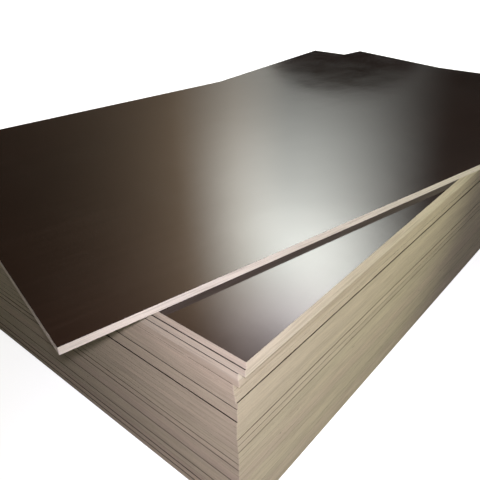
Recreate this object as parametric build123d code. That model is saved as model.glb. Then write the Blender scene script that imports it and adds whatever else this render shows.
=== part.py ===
from build123d import *
import os

# Stack of film-faced plywood sheets lying flat on a floor.
# The sheets lie face to face, a little out of line with one another,
# and the topmost one lies askew across the stack.
# Millimetres, +Z up. The origin is the centre of the lowest sheet's underside,
# +X runs along the sheets' length and +Y across their width.
# The near corner is the lowest sheet's corner at -X and -Y.

# One sheet: the 2500 by 1500 mm formwork panel, 21 mm thick.
sheet_length = 2500.0
sheet_width = 1500.0
sheet_thickness = 21.0

# Small flat where the sawn rim meets the film on each face.
arris = 0.5

# The askew top sheet: its centre against the stack's, and its turn in degrees.
top_along = -91.0
top_across = -27.0
top_turn = -13.4

os.makedirs("parts", exist_ok=True)


def plywood_sheet():
    """One whole sheet, with a corner of its underside on the origin."""
    board = Box(
        sheet_length,
        sheet_width,
        sheet_thickness,
        align=(Align.MIN, Align.MIN, Align.MIN),
    )
    face_rims = board.edges().filter_by(Axis.Z, reverse=True)
    return chamfer(face_rims, arris)


one_sheet = plywood_sheet()
laid_sheets = []


def lay(along, across, turn=0.0):
    """Lay a sheet on those already laid, shifted and turned at its near corner."""
    height = len(laid_sheets) * sheet_thickness
    corner = Pos(along - sheet_length / 2, across - sheet_width / 2, height)
    laid_sheets.append(corner * Rot(0, 0, turn) * one_sheet)


# The lower body of the stack, from the floor up. Every third sheet or so
# stands out at the near end and shows a thin line of its film.
lay(along=0.0, across=0.0)
lay(along=1.5, across=0.1)
lay(along=3.1, across=0.0)
lay(along=3.2, across=0.1)
lay(along=4.5, across=0.2, turn=0.01)
lay(along=0.3, across=0.1)
lay(along=0.2, across=0.2)
lay(along=1.4, across=0.2, turn=0.01)
lay(along=-1.4, across=0.3)
lay(along=-1.5, across=0.3)
lay(along=-0.4, across=0.4, turn=-0.02)

# Sheets turned a little, the lower ones standing out at the long side.
lay(along=0.6, across=0.5, turn=-0.04)
lay(along=0.7, across=0.7, turn=-0.08)
lay(along=0.8, across=1.7, turn=-0.09)
lay(along=0.9, across=2.4, turn=-0.1)
lay(along=1.0, across=3.7, turn=-0.1)
lay(along=1.1, across=2.8, turn=-0.12)

# Sheets that step in and out at the near end.
lay(along=1.0, across=1.9, turn=-0.14)
lay(along=3.6, across=0.9, turn=-0.17)
lay(along=1.7, across=-0.1, turn=-0.2)
lay(along=3.2, across=-1.1, turn=-0.2)
lay(along=-0.9, across=1.3, turn=-0.18)
lay(along=-4.4, across=1.4, turn=-0.16)
lay(along=-6.0, across=1.5, turn=-0.12)

# Two sheets pushed out over the near long side.
lay(along=-5.5, across=-15.5, turn=-0.05)
lay(along=-7.1, across=-15.5, turn=-0.06)

# Two more pushed out further.
lay(along=-5.2, across=-34.5)
lay(along=-2.2, across=-35.5)

height = len(laid_sheets) * sheet_thickness
to_centre = Pos(-sheet_length / 2, -sheet_width / 2, 0)
top_sheet = Pos(top_along, top_across, height) * Rot(0, 0, top_turn) * to_centre * one_sheet

for number, laid in enumerate(laid_sheets, start=1):
    export_step(laid, f"parts/sheet_{number:02d}.step")
export_step(top_sheet, "parts/top_sheet.step")
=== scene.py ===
import math
import random

import bpy
from mathutils import Matrix, Vector


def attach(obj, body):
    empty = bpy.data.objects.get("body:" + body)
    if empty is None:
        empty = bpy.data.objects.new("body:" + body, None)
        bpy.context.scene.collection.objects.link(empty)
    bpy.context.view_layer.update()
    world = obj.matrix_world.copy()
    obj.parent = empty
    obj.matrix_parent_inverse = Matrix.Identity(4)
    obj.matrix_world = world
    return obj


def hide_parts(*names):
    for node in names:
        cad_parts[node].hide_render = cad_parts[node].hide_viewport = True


# Stack of film-faced plywood sheets, in metres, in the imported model's frame.
# Every sheet is rebuilt in place of its plain solid, with its glued plies,
# its knocked rim and the film on both faces.

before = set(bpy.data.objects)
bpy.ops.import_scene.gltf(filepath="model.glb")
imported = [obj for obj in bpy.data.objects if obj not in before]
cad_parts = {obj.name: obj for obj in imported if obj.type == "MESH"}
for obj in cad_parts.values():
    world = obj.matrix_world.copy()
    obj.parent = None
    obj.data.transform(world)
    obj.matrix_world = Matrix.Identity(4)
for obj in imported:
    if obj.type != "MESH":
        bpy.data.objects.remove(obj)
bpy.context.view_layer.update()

# Camera at the photograph's viewing angle, angles in degrees, lens in millimetres.
CAMERA_AT = Vector((-1.868, -1.323, 1.367))
CAMERA_YAW = 41.43
CAMERA_PITCH = 30.92
CAMERA_ROLL = 1.94
CAMERA_LENS = 40.76
CAMERA_SENSOR = 36.0
CAMERA_REACH = 200.0

# Sheet make-up. Every second ply stands in by PLY_RELIEF, the rim has points at
# PLY_STEP below and above each joint of two plies, and SAW_MARK is the most that
# a point stands in by chance.
PLIES = 15
RIM_ARRIS = 0.00014
PLY_RELIEF = 0.00010
PLY_STEP = 0.00008
SAW_MARK = 0.00003
CORNER_RADIUS = 0.0015
RIM_STEP = 0.030

# Small knocks out of the arrises: how many are drawn in each of four rounds, how
# far they stay from a side's ends, the ranges of their sizes, where in shares of
# their half-length the rim has points, how steeply they deepen from their ends,
# and the share of them that is on the upper arris.
CHIP_COUNTS = (1, 2, 2, 3)
CHIP_MARGIN = 0.03
CHIP_HALF = (0.003, 0.009)
CHIP_DEPTH = (0.0004, 0.0012)
CHIP_HEIGHT = (0.0010, 0.0024)
CHIP_POINTS = (-1.0, -0.35, 0.3, 1.0)
CHIP_STEEPNESS = 1.6
CHIPS_ON_TOP = 0.6
CHIP_SEED = 4100

# Layout of a sheet's map: its side margin, the foot and height of the bands for
# the upper and lower face, and the rim's strips with the gap under each.
MAP_MARGIN = 0.006
MAP_UPPER = (0.435, 0.555)
MAP_LOWER = (0.205, 0.220)
MAP_STRIP = 0.042
MAP_GAP = 0.008

# Tones of the rims. The top sheet's is the palest, and it and the next three are
# fresh, while the others' are drawn from a range.
TOP_TONE = 1.14
FRESH_TONE = 1.06
FRESH_SHEETS = 4
WORN_TONE_LOW = 0.95
WORN_TONE_HIGH = 1.03

# How far the shaders' pattern moves along x and y from one sheet to the next.
PATTERN_SHIFT = (3.17, 5.41, 0.0)

# Colours of the film.
FILM_DARK = (0.0145, 0.0070, 0.0044, 1.0)
FILM_LIGHT = (0.0215, 0.0105, 0.0066, 1.0)
FILM_GRAIN = (0.034, 0.018, 0.0125, 1.0)
FILM_SMUDGE = (0.10, 0.085, 0.07, 1.0)
FILM_EDGE = (0.016, 0.009, 0.006, 1.0)

# Colours of the rim, and the casts that tint it.
SIDE_GRAIN = (0.69, 0.605, 0.455, 1.0)
SIDE_GRAIN_DARK = (0.61, 0.525, 0.38, 1.0)
END_GRAIN = (0.62, 0.53, 0.405, 1.0)
END_GRAIN_DARK = (0.52, 0.435, 0.315, 1.0)
CLEAN_WOOD = (0.87, 0.785, 0.69, 1.0)
BROWN_DASH = (0.30, 0.225, 0.16, 1.0)
GLUE_LINE = (0.20, 0.125, 0.08, 1.0)
OPEN_GAP = (0.07, 0.045, 0.03, 1.0)
PINK_CAST = (1.0, 0.955, 0.95, 1.0)
GREEN_CAST = (0.97, 1.0, 0.92, 1.0)
END_FACE_CAST = (1.0, 0.93, 0.90, 1.0)

# Floor: half its width, how far it lies under the stack, and its colours where
# it is seen and where it only throws light back.
FLOOR_REACH = 45.0
FLOOR_DROP = 0.0006
FLOOR_DARKER = (0.78, 0.78, 0.775, 1.0)
FLOOR_LIGHTER = (0.82, 0.82, 0.815, 1.0)
FLOOR_GLOW = (0.80, 0.80, 0.80, 1.0)
FLOOR_UNSEEN = (0.15, 0.155, 0.115, 1.0)

# The world is set by direction. Height is the sine of the angle above the
# horizon, and slant the sideways share of a direction over its forward share.
# Soft window behind the stack: its azimuth in degrees, its brightest level, how
# its level goes with the height, and its tints low and high.
WINDOW_YAW = 41.43
WINDOW_LEVEL = 10.6
WINDOW_RISE = (
    (0.10, 0.0),
    (0.22, 0.055),
    (0.28, 0.085),
    (0.36, 0.21),
    (0.44, 0.44),
    (0.52, 0.92),
    (0.58, 1.08),
    (0.66, 0.57),
    (0.80, 0.0),
)
WINDOW_LOW = (0.97, 1.0, 0.94, 1.0)
WINDOW_HIGH = (1.0, 0.92, 0.94, 1.0)

# Dark patch at the window's foot: its middle and its half sizes.
PATCH_SLANT = 0.20
PATCH_HALF_WIDTH = 0.135
PATCH_HEIGHT = 0.213
PATCH_HALF_HEIGHT = 0.060

# Warm light at the window's left: the slant left of the middle where it starts
# to fade, the slant in which it falls by NATURAL_BASE, and its level and colour.
SPILL_EDGE = 0.107
SPILL_FADE = 0.13
SPILL_LEVEL = 1.10
SPILL_COLOUR = (1.0, 0.76, 0.52)
NATURAL_BASE = 2.718

# Distance of a sun's object from the stack, which doesn't change its light.
SUN_DISTANCE = 6.0

# Band at the horizon, sheen from well beside the window and from the side across
# from it, and backdrop.
HORIZON_COLOUR = (1.0, 1.0, 0.98)
SHEEN_COLOUR = (1.0, 0.86, 0.74)
BACKDROP = (1.0, 1.0, 1.0, 1.0)


def add_camera():
    """The camera looks along yaw and down by pitch, then rolls about its axis."""
    yaw = math.radians(CAMERA_YAW)
    pitch = math.radians(CAMERA_PITCH)
    roll = math.radians(CAMERA_ROLL)
    forward = Vector((math.cos(yaw) * math.cos(pitch), math.sin(yaw) * math.cos(pitch), -math.sin(pitch)))
    right = Vector((math.sin(yaw), -math.cos(yaw), 0.0))
    down = forward.cross(right)
    image_right = right * math.cos(roll) + down * math.sin(roll)
    image_down = down * math.cos(roll) - right * math.sin(roll)
    data = bpy.data.cameras.new("camera")
    data.sensor_width = CAMERA_SENSOR
    data.lens = CAMERA_LENS
    data.clip_end = CAMERA_REACH
    camera = bpy.data.objects.new("camera", data)
    axes = Matrix((image_right, -image_down, -forward)).transposed()
    camera.matrix_world = Matrix.Translation(CAMERA_AT) @ axes.to_4x4()
    bpy.context.scene.collection.objects.link(camera)
    bpy.context.scene.camera = camera


class Nodes:
    """Short calls for building one material's or the world's node tree."""

    def __init__(self, tree):
        self.tree = tree
        self.tree.nodes.clear()

    def add(self, kind, **settings):
        node = self.tree.nodes.new(kind)
        for name, value in settings.items():
            setattr(node, name, value)
        return node

    def join(self, source, target):
        self.tree.links.new(source, target)

    def feed(self, socket, value):
        """Sets a socket to a constant, or links another node's output to it."""
        if isinstance(value, bpy.types.NodeSocket):
            self.join(value, socket)
        else:
            socket.default_value = value

    def attribute(self, name):
        """A value that the mesh carries on its points."""
        return self.add("ShaderNodeAttribute", attribute_name=name).outputs["Fac"]

    def parts(self, value):
        """The outputs X, Y and Z of a vector."""
        node = self.add("ShaderNodeSeparateXYZ")
        self.join(value, node.inputs[0])
        return node.outputs

    def math(self, operation, first, second=0.0, clamp=False):
        node = self.add("ShaderNodeMath", operation=operation, use_clamp=clamp)
        self.feed(node.inputs[0], first)
        self.feed(node.inputs[1], second)
        return node.outputs[0]

    def product(self, first, *others):
        """The first value times each of the others in turn."""
        for other in others:
            first = self.math("MULTIPLY", first, other)
        return first

    def square(self, value):
        return self.math("POWER", self.math("ABSOLUTE", value), 2.0)

    def vector(self, operation, first, second):
        node = self.add("ShaderNodeVectorMath", operation=operation)
        self.feed(node.inputs[0], first)
        self.feed(node.inputs[1], second)
        return node.outputs[0]

    def dot(self, first, second):
        return self.vector("DOT_PRODUCT", first, second).node.outputs["Value"]

    def scale(self, value, amount):
        """A vector or colour times a single amount."""
        node = self.add("ShaderNodeVectorMath", operation="SCALE")
        self.feed(node.inputs[0], value)
        self.feed(node.inputs["Scale"], amount)
        return node.outputs[0]

    def noise(self, place, stretch, detail=3.0, roughness=0.5):
        """Noise between 0 and 1, with its features per metre given along x, y and z."""
        node = self.add("ShaderNodeTexNoise")
        node.inputs["Scale"].default_value = 1.0
        node.inputs["Detail"].default_value = detail
        node.inputs["Roughness"].default_value = roughness
        self.join(self.vector("MULTIPLY", place, stretch), node.inputs["Vector"])
        return node.outputs["Fac"]

    def span(self, value, low, high, to_low, to_high, smooth=False):
        """The value's stretch from low to high, laid over to_low to to_high and held there."""
        node = self.add("ShaderNodeMapRange", clamp=True)
        if smooth:
            node.interpolation_type = "SMOOTHSTEP"
        self.feed(node.inputs["Value"], value)
        self.feed(node.inputs["From Min"], low)
        self.feed(node.inputs["From Max"], high)
        self.feed(node.inputs["To Min"], to_low)
        self.feed(node.inputs["To Max"], to_high)
        return node.outputs["Result"]

    def mix(self, amount, first, second, blend="MIX"):
        node = self.add("ShaderNodeMix", data_type="RGBA", blend_type=blend)
        self.feed(node.inputs["Factor"], amount)
        self.feed(node.inputs[6], first)
        self.feed(node.inputs[7], second)
        return node.outputs[2]

    def bump(self, height, depth, strength=1.0, under=None):
        node = self.add("ShaderNodeBump")
        node.inputs["Strength"].default_value = strength
        node.inputs["Distance"].default_value = depth
        self.join(height, node.inputs["Height"])
        if under is not None:
            self.join(under, node.inputs["Normal"])
        return node.outputs["Normal"]

    def finish(self, shader, kind="ShaderNodeOutputMaterial"):
        """Ends the tree with its output."""
        output = self.add(kind)
        self.join(shader.outputs[0], output.inputs["Surface"])


def new_material(name):
    """An empty material, and the calls that fill its node tree."""
    material = bpy.data.materials.new(name)
    material.use_nodes = True
    return material, Nodes(material.node_tree)


def pattern_place(nodes, spot):
    """Place on the sheet, moved by the sheet's own number so no two are alike."""
    return nodes.vector("ADD", spot, nodes.scale(PATTERN_SHIFT, nodes.attribute("sheet_number")))


def edge_share(nodes, spot, length, width):
    """One along the outer few millimetres of a face, zero further in."""
    x, y, _ = nodes.parts(spot)
    from_ends = nodes.math("MINIMUM", x, nodes.math("SUBTRACT", length, x))
    from_sides = nodes.math("MINIMUM", y, nodes.math("SUBTRACT", width, y))
    return nodes.span(nodes.math("MINIMUM", from_ends, from_sides), 0.006, 0.009, 1.0, 0.0)


def film_material(length, width):
    """Dark brown phenolic film: satin gloss over a faint show of the veneer's grain.

    Its outer edge is dulled by sawdust, but for the fresh sheets on top.
    """
    material, nodes = new_material("phenolic_film")
    spot = nodes.add("ShaderNodeTexCoord").outputs["Object"]
    place = pattern_place(nodes, spot)
    worn = nodes.span(nodes.attribute("sheet_tone"), WORN_TONE_HIGH, FRESH_TONE, 1.0, 0.0)
    dull = nodes.product(edge_share(nodes, spot, length, width), worn)

    cloud = nodes.noise(place, (1.6, 1.6, 1.6), detail=4.0)
    grain = nodes.noise(place, (1.6, 55.0, 1.0), detail=3.0, roughness=0.55)
    smudge = nodes.noise(place, (5.0, 4.0, 1.0), detail=5.0, roughness=0.62)
    wave = nodes.noise(place, (7.0, 9.0, 1.0), detail=3.0, roughness=0.55)

    colour = nodes.mix(nodes.span(cloud, 0.3, 0.7, 0.0, 1.0), FILM_DARK, FILM_LIGHT)
    colour = nodes.mix(nodes.span(grain, 0.45, 0.75, 0.0, 0.35), colour, FILM_GRAIN)
    colour = nodes.mix(nodes.span(smudge, 0.5, 0.8, 0.0, 0.04), colour, FILM_SMUDGE)
    colour = nodes.mix(dull, colour, FILM_EDGE)

    roughness = nodes.span(smudge, 0.3, 0.7, 0.065, 0.115)
    roughness = nodes.math("ADD", roughness, nodes.span(grain, 0.3, 0.7, 0.0, 0.015))
    roughness = nodes.math("ADD", roughness, nodes.product(dull, 0.5))

    relief = nodes.bump(wave, 0.00018)
    relief = nodes.bump(grain, 0.00004, under=relief)

    shader = nodes.add("ShaderNodeBsdfPrincipled")
    shader.inputs["IOR"].default_value = 1.5
    nodes.join(nodes.span(dull, 0.0, 1.0, 0.5, 0.15), shader.inputs["Specular IOR Level"])
    nodes.join(colour, shader.inputs["Base Color"])
    nodes.join(roughness, shader.inputs["Roughness"])
    nodes.join(relief, shader.inputs["Normal"])
    nodes.finish(shader)
    return material


def on_end_face(nodes):
    """One on the two short sides of a sheet, zero on the long ones."""
    normal = nodes.add("ShaderNodeTexCoord").outputs["Normal"]
    return nodes.math("GREATER_THAN", nodes.math("ABSOLUTE", nodes.parts(normal)["X"]), 0.7)


def wood_colour(nodes, place, pores, end_grain):
    """Plies cut along their grain have fine streaks, those cut across it have pores."""
    streak = nodes.noise(place, (7.0, 7.0, 900.0), detail=4.0, roughness=0.6)
    side_colour = nodes.mix(nodes.span(streak, 0.3, 0.7, 0.0, 1.0), SIDE_GRAIN, SIDE_GRAIN_DARK)
    end_colour = nodes.mix(nodes.span(pores, 0.35, 0.7, 0.0, 1.0), END_GRAIN, END_GRAIN_DARK)
    return nodes.mix(end_grain, side_colour, end_colour)


def wood_tone(nodes, place, layer, number, tone, saw):
    """How light each ply is, times its sheet's tone, with soft blotches and saw marks."""
    seed = nodes.add("ShaderNodeCombineXYZ")
    nodes.join(layer, seed.inputs["X"])
    nodes.join(number, seed.inputs["Y"])
    chance = nodes.add("ShaderNodeTexWhiteNoise", noise_dimensions="3D")
    nodes.join(seed.outputs[0], chance.inputs["Vector"])
    blotch = nodes.noise(place, (2.2, 2.2, 18.0), detail=3.0)
    return nodes.product(
        nodes.span(chance.outputs["Value"], 0.0, 1.0, 0.95, 1.03),
        tone,
        nodes.span(blotch, 0.3, 0.7, 0.93, 1.06),
        nodes.span(saw, 0.3, 0.7, 0.97, 1.03),
    )


def pair_cast(nodes, number):
    """A slight cast, by chance from pink to green, for every two sheets."""
    chance = nodes.add("ShaderNodeTexWhiteNoise", noise_dimensions="1D")
    nodes.join(nodes.math("FLOOR", nodes.product(number, 0.5)), chance.inputs["W"])
    return nodes.mix(chance.outputs["Value"], PINK_CAST, GREEN_CAST)


def add_glue_and_gaps(nodes, colour, place, within, end_grain):
    """Dark glue between the plies, and short gaps in those cut across their grain."""
    from_middle = nodes.math("ABSOLUTE", nodes.math("SUBTRACT", within, 0.5))
    colour = nodes.mix(nodes.span(from_middle, 0.42, 0.49, 0.0, 0.35), colour, GLUE_LINE)
    gap = nodes.noise(place, (30.0, 30.0, 700.0), detail=1.0)
    gap = nodes.product(nodes.span(gap, 0.735, 0.76, 0.0, 0.7), end_grain)
    return nodes.mix(gap, colour, OPEN_GAP)


def rim_material(thickness):
    """Sawn rim: pale plies with their grain turned by a right angle from one to the next."""
    material, nodes = new_material("sawn_plies")
    spot = nodes.add("ShaderNodeTexCoord").outputs["Object"]
    place = pattern_place(nodes, spot)
    number = nodes.attribute("sheet_number")
    tone = nodes.attribute("sheet_tone")

    ply = nodes.product(nodes.parts(spot)["Z"], PLIES / thickness)
    layer = nodes.math("FLOOR", ply)
    within = nodes.math("FRACT", ply)
    parity = nodes.math("FLOORED_MODULO", layer, 2.0)
    end_face = on_end_face(nodes)
    end_grain = nodes.math("ABSOLUTE", nodes.math("SUBTRACT", parity, end_face))

    pores = nodes.noise(place, (260.0, 260.0, 900.0), detail=3.0, roughness=0.6)
    saw = nodes.noise(place, (520.0, 520.0, 14.0), detail=2.0)
    dash = nodes.noise(place, (9.0, 9.0, 240.0), detail=2.0)

    colour = wood_colour(nodes, place, pores, end_grain)
    colour = nodes.scale(colour, wood_tone(nodes, place, layer, number, tone, saw))
    colour = nodes.mix(0.6, colour, pair_cast(nodes, number), blend="MULTIPLY")
    colour = nodes.mix(nodes.span(tone, WORN_TONE_HIGH, TOP_TONE, 0.0, 0.8), colour, CLEAN_WOOD)
    colour = nodes.mix(nodes.product(end_face, 0.5), colour, END_FACE_CAST, blend="MULTIPLY")
    colour = nodes.mix(nodes.span(dash, 0.50, 0.66, 0.0, 0.30), colour, BROWN_DASH)
    colour = nodes.scale(colour, nodes.span(dash, 0.25, 0.48, 1.08, 1.0))
    colour = add_glue_and_gaps(nodes, colour, place, within, end_grain)

    relief = nodes.bump(pores, 0.00010, strength=0.5)
    relief = nodes.bump(saw, 0.00006, strength=0.5, under=relief)

    shader = nodes.add("ShaderNodeBsdfPrincipled")
    shader.inputs["IOR"].default_value = 1.45
    nodes.join(colour, shader.inputs["Base Color"])
    nodes.join(nodes.span(pores, 0.3, 0.7, 0.72, 0.88), shader.inputs["Roughness"])
    nodes.join(relief, shader.inputs["Normal"])
    nodes.finish(shader)
    return material


class Sheet:
    """One sheet of plywood, lying on its own x and y, from the corner at zero."""

    def __init__(self, length, width, thickness, number, tone):
        self.length = length
        self.width = width
        self.thickness = thickness
        self.number = number
        self.tone = tone
        self.map_scale = (1.0 - 2 * MAP_MARGIN) / length
        self.chance = random.Random(CHIP_SEED + number)
        self.chips = []
        for _ in range(4):
            count = self.chance.choice(CHIP_COUNTS)
            self.chips += [self.chip() for _ in range(count)]

    def chip(self):
        """A small knock out of the top or bottom arris of one side."""
        side = self.chance.randrange(4)
        return {
            "side": side,
            "run": self.chance.uniform(CHIP_MARGIN, self.side_length(side) - CHIP_MARGIN),
            "half": self.chance.uniform(*CHIP_HALF),
            "depth": self.chance.uniform(*CHIP_DEPTH),
            "height": self.chance.uniform(*CHIP_HEIGHT),
            "top": self.chance.random() < CHIPS_ON_TOP,
        }

    def side_length(self, side):
        return self.length if side % 2 == 0 else self.width

    def side_runs(self, side):
        """Distances along a side where the rim has points, closer at the chips."""
        straight = self.side_length(side) - 2 * CORNER_RADIUS
        count = round(straight / RIM_STEP)
        step = straight / count
        runs = [CORNER_RADIUS + step * i for i in range(count + 1)]
        for chip in self.chips:
            if chip["side"] == side:
                runs += [chip["run"] + chip["half"] * share for share in CHIP_POINTS]
        return sorted(runs)

    def outline(self):
        """Points round the rim: place, outward direction, side, distance along it."""
        ends = ((0, 0), (self.length, 0), (self.length, self.width), (0, self.width))
        corners = [Vector(end) for end in ends]
        points = []
        for side in range(4):
            start = corners[side]
            end = corners[(side + 1) % 4]
            along = (end - start).normalized()
            out = Vector((along.y, -along.x))
            for run in self.side_runs(side):
                points.append((start + along * run, out, side, run))
            turn = end - along * CORNER_RADIUS - out * CORNER_RADIUS
            bend = (out + along).normalized()
            points.append((turn + bend * CORNER_RADIUS, bend, side, self.side_length(side)))
        return points

    def rows(self):
        """Heights of the rim's rows of points and how far each stands in."""
        ply = self.thickness / PLIES
        rows = [(0.0, RIM_ARRIS), (RIM_ARRIS, 0.0)]
        for layer in range(1, PLIES):
            below = PLY_RELIEF * ((layer - 1) % 2)
            above = PLY_RELIEF * (layer % 2)
            rows.append((layer * ply - PLY_STEP, below))
            rows.append((layer * ply + PLY_STEP, above))
        rows += [(self.thickness - RIM_ARRIS, 0.0), (self.thickness, RIM_ARRIS)]
        return rows

    def knock(self, height, side, run):
        """How far a chip takes the rim in at this height and distance."""
        depth = 0.0
        for chip in self.chips:
            if chip["side"] != side:
                continue
            from_face = self.thickness - height if chip["top"] else height
            down = 1.0 - from_face / chip["height"]
            across = 1.0 - abs(run - chip["run"]) / chip["half"]
            if down > 0 and across > 0:
                depth = max(depth, chip["depth"] * down * min(1.0, across * CHIP_STEEPNESS))
        return depth

    def points(self, outline, rows):
        """The mesh's points, row by row round the rim, each set in by its reliefs."""
        places = []
        for height, inset in rows:
            for point, out, side, run in outline:
                inward = inset + self.knock(height, side, run)
                if 0.0 < height < self.thickness:
                    inward += self.chance.uniform(0.0, SAW_MARK)
                spot = point - out * inward
                places.append((spot.x, spot.y, height))
        return places

    def faces(self, around, up):
        """Faces between the rows, then the upper and lower face, and which are film."""
        faces = []
        film = []
        for row in range(up - 1):
            low = row * around
            high = low + around
            for i in range(around):
                after = (i + 1) % around
                faces.append((low + i, low + after, high + after, high + i))
                film.append(row in (0, up - 2))
        top = (up - 1) * around
        faces.append(tuple(range(top, top + around)))
        faces.append(tuple(range(around - 1, -1, -1)))
        return faces, film + [True, True]

    def mesh(self):
        """The sheet with film and wood as its first and second material."""
        outline = self.outline()
        rows = self.rows()
        faces, film = self.faces(len(outline), len(rows))
        mesh = bpy.data.meshes.new("sheet")
        mesh.from_pydata(self.points(outline, rows), [], faces)
        for face, is_film in zip(mesh.polygons, film):
            face.material_index = 0 if is_film else 1
        for name, value in (("sheet_tone", self.tone), ("sheet_number", float(self.number))):
            carried = mesh.attributes.new(name, "FLOAT", "POINT")
            carried.data.foreach_set("value", [value] * len(mesh.vertices))
        self.unwrap(mesh, outline)
        return mesh

    def unwrap(self, mesh, outline):
        """Lays the two faces in bands of the map and each side of the rim in a strip."""
        layer = mesh.uv_layers.new(name="OFBake")
        for face in mesh.polygons:
            if len(face.vertices) > 4:
                band = MAP_UPPER if face.normal.z > 0 else MAP_LOWER
                for corner in face.loop_indices:
                    place = mesh.vertices[mesh.loops[corner].vertex_index].co
                    layer.data[corner].uv = self.band_spot(place, band)
            else:
                steps = [vertex % len(outline) for vertex in face.vertices]
                wraps = max(steps) - min(steps) > 1
                side = outline[0 if wraps else min(steps)][2]
                for corner in face.loop_indices:
                    vertex = mesh.loops[corner].vertex_index
                    height = mesh.vertices[vertex].co.z
                    layer.data[corner].uv = self.strip_spot(outline[vertex % len(outline)], side, height)

    def band_spot(self, place, band):
        """Where a point of the upper or lower face is in its band of the map."""
        foot, high = band
        return (MAP_MARGIN + place.x * self.map_scale, foot + place.y / self.width * high)

    def strip_spot(self, rim_point, side, height):
        """Where a point of the rim is in the strip of the side that its face is on.

        A corner's face also has a point of another side, which is laid at zero run.
        """
        run = rim_point[3] if rim_point[2] == side else 0.0
        foot = MAP_GAP + side * (MAP_STRIP + MAP_GAP)
        return (MAP_MARGIN + run * self.map_scale, foot + height / self.thickness * MAP_STRIP)


def node_pose(node):
    """A CAD sheet's near lower corner with its turn about +Z, and its three sizes."""
    points = [vertex.co for vertex in node.data.vertices]
    near = min(points, key=lambda p: p.x + p.y)
    far_end = max(points, key=lambda p: p.x - p.y)
    far_side = max(points, key=lambda p: p.y - p.x)
    along = (far_end - near).xy
    across = (far_side - near).xy
    low = min(p.z for p in points)
    high = max(p.z for p in points)
    turn = Matrix.Rotation(math.atan2(along.y, along.x), 4, "Z")
    place = Matrix.Translation((near.x, near.y, low)) @ turn
    return place, along.length, across.length, high - low


def rim_tone(name, number, count):
    """How pale a sheet's rim is: the top sheet's most, then those of the last laid."""
    if name == "top_sheet":
        return TOP_TONE
    if number > count - FRESH_SHEETS:
        return FRESH_TONE
    return random.Random(number).uniform(WORN_TONE_LOW, WORN_TONE_HIGH)


def add_sheets():
    """One detailed sheet for each CAD node, laid exactly where the node is."""
    names = sorted(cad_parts)
    _, length, width, thickness = node_pose(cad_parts[names[0]])
    film = film_material(length, width)
    rim = rim_material(thickness)
    for number, name in enumerate(names, start=1):
        place, length, width, thickness = node_pose(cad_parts[name])
        tone = rim_tone(name, number, len(names))
        mesh = Sheet(length, width, thickness, number, tone).mesh()
        mesh.materials.append(film)
        mesh.materials.append(rim)
        piece = bpy.data.objects.new(name + "_ply", mesh)
        piece.matrix_world = place
        bpy.context.scene.collection.objects.link(piece)
        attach(piece, "root")
        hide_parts(name)


def floor_material():
    """Pale and aglow where it is seen or mirrored, dim to all other light."""
    material, nodes = new_material("pale_floor")
    spot = nodes.add("ShaderNodeTexCoord").outputs["Object"]
    cloud = nodes.noise(spot, (0.7, 0.7, 0.7), detail=3.0)
    pale = nodes.add("ShaderNodeBsdfDiffuse")
    nodes.join(nodes.mix(cloud, FLOOR_DARKER, FLOOR_LIGHTER), pale.inputs["Color"])
    glow = nodes.add("ShaderNodeEmission")
    glow.inputs["Color"].default_value = FLOOR_GLOW
    seen = nodes.add("ShaderNodeAddShader")
    nodes.join(pale.outputs[0], seen.inputs[0])
    nodes.join(glow.outputs[0], seen.inputs[1])
    unseen = nodes.add("ShaderNodeBsdfDiffuse")
    unseen.inputs["Color"].default_value = FLOOR_UNSEEN
    path = nodes.add("ShaderNodeLightPath")
    direct = nodes.math("ADD", path.outputs["Is Camera Ray"], path.outputs["Is Glossy Ray"])
    direct = nodes.math("ADD", direct, path.outputs["Is Transmission Ray"], clamp=True)
    choice = nodes.add("ShaderNodeMixShader")
    nodes.join(direct, choice.inputs[0])
    nodes.join(unseen.outputs[0], choice.inputs[1])
    nodes.join(seen.outputs[0], choice.inputs[2])
    nodes.finish(choice)
    return material


def add_floor():
    """A plain pale floor that runs out past the picture."""
    near, far = -FLOOR_REACH, FLOOR_REACH
    corners = [(near, near, 0), (far, near, 0), (far, far, 0), (near, far, 0)]
    mesh = bpy.data.meshes.new("floor")
    mesh.from_pydata(corners, [], [(0, 1, 2, 3)])
    floor = bpy.data.objects.new("floor", mesh)
    floor.location.z = -FLOOR_DROP
    bpy.context.scene.collection.objects.link(floor)
    floor.data.materials.append(floor_material())


def place_lamp(name, data, place, target):
    """Puts a lamp at a place, shining at the target and out of reflections."""
    facing = (Vector(target) - Vector(place)).to_track_quat("-Z", "Y")
    lamp = bpy.data.objects.new(name, data)
    lamp.matrix_world = Matrix.Translation(place) @ facing.to_matrix().to_4x4()
    lamp.visible_glossy = False
    bpy.context.scene.collection.objects.link(lamp)


def add_spot(name, place, target, cone, watts, radius, colour):
    """A lamp that fades from its middle to the edge of its cone of degrees."""
    data = bpy.data.lights.new(name, "SPOT")
    data.energy = watts
    data.color = colour
    data.spot_size = math.radians(cone)
    data.spot_blend = 1.0
    data.shadow_soft_size = radius
    place_lamp(name, data, place, target)


def add_sun(name, toward, spread, strength, colour):
    """Even light from one way, softened over a spread of degrees."""
    data = bpy.data.lights.new(name, "SUN")
    data.energy = strength
    data.angle = math.radians(spread)
    data.color = colour
    place_lamp(name, data, Vector(toward) * SUN_DISTANCE, (0.0, 0.0, 0.0))


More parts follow.
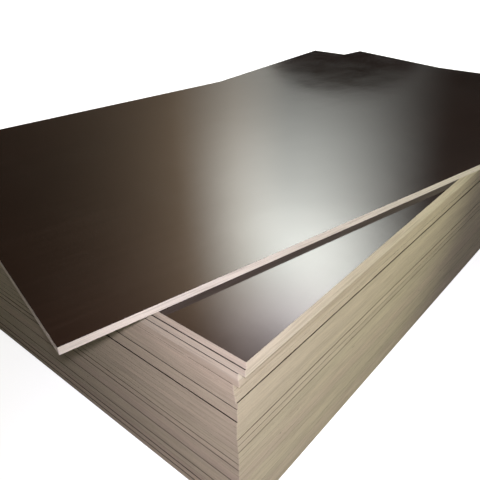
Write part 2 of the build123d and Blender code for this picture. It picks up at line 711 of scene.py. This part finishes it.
def add_lights():
    """A lamp just over the camera, one on the long side, and faint light from above and behind."""
    add_spot(
        "key",
        place=(-1.868, -1.323, 1.437),
        target=(-1.04, -1.01, 0.41),
        cone=87.0,
        watts=98.0,
        radius=0.03,
        colour=(1.0, 0.96, 1.16),
    )
    add_spot(
        "side",
        place=(0.87, -2.70, 0.95),
        target=(-0.97, -0.75, 0.79),
        cone=57.0,
        watts=126.0,
        radius=0.07,
        colour=(0.96, 1.0, 0.74),
    )
    add_sun("overhead", toward=(0.0, 0.0, 1.0), spread=40.0, strength=0.45, colour=(1.0, 0.94, 0.80))
    add_sun("behind", toward=(0.66, 0.58, 0.47), spread=50.0, strength=2.2, colour=(1.0, 0.99, 0.96))


def window_light(nodes, slant, height):
    """The window's level: its soft left and right ends, which lean, and its rise."""
    left_end = nodes.span(height, 0.42, 0.60, 0.06, 0.20)
    left = nodes.span(slant, -0.13, left_end, 0.0, 1.0, smooth=True)
    right_start = nodes.span(height, 0.46, 0.58, 0.12, 0.16)
    right_end = nodes.span(height, 0.46, 0.58, 0.42, 0.44)
    right = nodes.span(slant, right_start, right_end, 1.0, 0.02, smooth=True)
    rise = nodes.add("ShaderNodeFloatCurve")
    curve = rise.mapping.curves[0]
    curve.points[1].location = (1.0, 0.0)
    for at, level in WINDOW_RISE:
        curve.points.new(at, level)
    rise.mapping.update()
    nodes.join(height, rise.inputs["Value"])
    return nodes.product(left, right, rise.outputs[0])


def outside_patch(nodes, slant, height):
    """Zero in the dark patch at the window's foot, one well outside it."""
    off_side = nodes.math("DIVIDE", nodes.math("SUBTRACT", slant, PATCH_SLANT), PATCH_HALF_WIDTH)
    off_foot = nodes.math("DIVIDE", nodes.math("SUBTRACT", height, PATCH_HEIGHT), PATCH_HALF_HEIGHT)
    away = nodes.math("ADD", nodes.square(off_side), nodes.square(off_foot))
    return nodes.span(away, 0.72, 1.30, 0.0, 1.0, smooth=True)


def spill_light(nodes, slant, height):
    """The warm light's level at the window's left, which grows with the height."""
    steps = nodes.math("DIVIDE", nodes.math("ADD", slant, SPILL_EDGE), SPILL_FADE)
    return nodes.product(
        nodes.math("POWER", NATURAL_BASE, nodes.math("MINIMUM", steps, 0.0)),
        nodes.span(slant, 0.0, 0.1, 1.0, 0.0),
        nodes.span(height, 0.20, 0.60, 0.13, 1.35),
        nodes.span(height, 0.55, 0.75, 1.0, 0.0, smooth=True),
    )


def sheen_light(nodes, slant, height, aside, before):
    """A faint level for directions well beside the window or across from it."""
    beside = nodes.span(nodes.math("ABSOLUTE", slant), 0.9, 2.2, 0.0, 1.0)
    return nodes.product(
        nodes.math("MAXIMUM", beside, nodes.math("SUBTRACT", 1.0, before)),
        nodes.span(height, 0.10, 0.70, 0.06, 0.28, smooth=True),
        nodes.span(aside, -1.0, 1.0, 0.5, 1.0),
    )


def backdrop_share(nodes, path, height):
    """One where the white backdrop is seen, in reflections only near the horizon."""
    sharp = nodes.math("ADD", path["Is Glossy Ray"], path["Is Transmission Ray"], clamp=True)
    low = nodes.product(sharp, nodes.span(height, 0.05, 0.13, 1.0, 0.0, smooth=True))
    return nodes.math("ADD", path["Is Camera Ray"], low, clamp=True)


def add_sky():
    """A dim room with a tall soft window behind the stack, and a white backdrop.

    The backdrop is seen directly all round, and in reflections only low down,
    where the floor's far edge is.
    """
    world = bpy.data.worlds.new("sky")
    world.use_nodes = True
    bpy.context.scene.world = world
    nodes = Nodes(world.node_tree)
    path = nodes.add("ShaderNodeLightPath").outputs
    direction = nodes.add("ShaderNodeTexCoord").outputs["Generated"]
    height = nodes.parts(direction)["Z"]
    yaw = math.radians(WINDOW_YAW)
    ahead = nodes.dot(direction, (math.cos(yaw), math.sin(yaw), 0.0))
    aside = nodes.dot(direction, (math.sin(yaw), -math.cos(yaw), 0.0))
    before = nodes.math("GREATER_THAN", ahead, 0.0)
    slant = nodes.math("DIVIDE", aside, nodes.math("MAXIMUM", ahead, 0.001))

    window = nodes.product(window_light(nodes, slant, height), before, WINDOW_LEVEL)
    window = nodes.product(window, outside_patch(nodes, slant, height))
    tint = nodes.mix(nodes.span(height, 0.56, 0.66, 0.0, 1.0), WINDOW_LOW, WINDOW_HIGH)
    spill = nodes.product(spill_light(nodes, slant, height), before, SPILL_LEVEL)
    horizon = nodes.span(height, 0.03, 0.17, 0.14, 0.012, smooth=True)
    sheen = nodes.product(sheen_light(nodes, slant, height, aside, before), path["Is Glossy Ray"])

    light = nodes.vector("ADD", nodes.scale(tint, window), nodes.scale(SPILL_COLOUR, spill))
    light = nodes.vector("ADD", light, nodes.scale(HORIZON_COLOUR, horizon))
    light = nodes.vector("ADD", light, nodes.scale(SHEEN_COLOUR, sheen))
    background = nodes.add("ShaderNodeBackground")
    pale = backdrop_share(nodes, path, height)
    nodes.join(nodes.mix(pale, light, BACKDROP), background.inputs["Color"])
    nodes.finish(background, "ShaderNodeOutputWorld")


bpy.context.scene.view_settings.view_transform = "Standard"
add_camera()
add_sheets()
add_floor()
add_lights()
add_sky()

bpy.context.view_layer.update()
